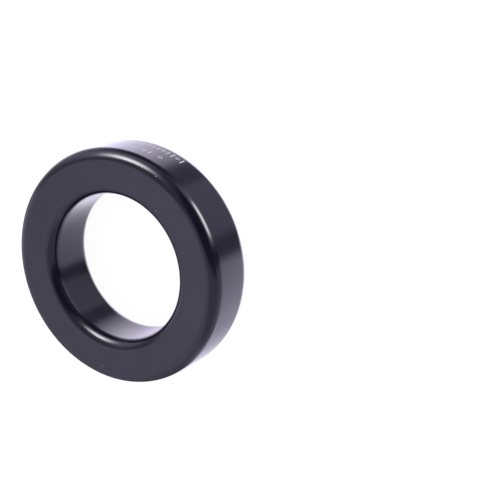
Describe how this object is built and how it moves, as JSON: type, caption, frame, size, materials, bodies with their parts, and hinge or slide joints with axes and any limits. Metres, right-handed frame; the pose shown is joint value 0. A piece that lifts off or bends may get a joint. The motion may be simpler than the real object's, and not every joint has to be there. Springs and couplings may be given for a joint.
{
  "type": "ferrite toroid core",
  "caption": "Round ferrite toroid core with a plain bore, flat faces and rounded edges, coated all over in black epoxy, for winding chokes, inductors and transformers.",
  "frame": {"origin": "on the ring's axis, in the plane of its back face, on which it lies", "axes": "+Z along the ring's axis from the back face to the front face; X and Y lie in the back face, and -Y is the side nearest the viewer in the picture"},
  "size_m": [0.0576, 0.0576, 0.0147],
  "materials": {
    "epoxy_coat": "black epoxy powder coat, baked on, semi-gloss"
  },
  "bodies": {
    "root": {"toroid_core": "epoxy_coat"}
  },
  "joints": []
}
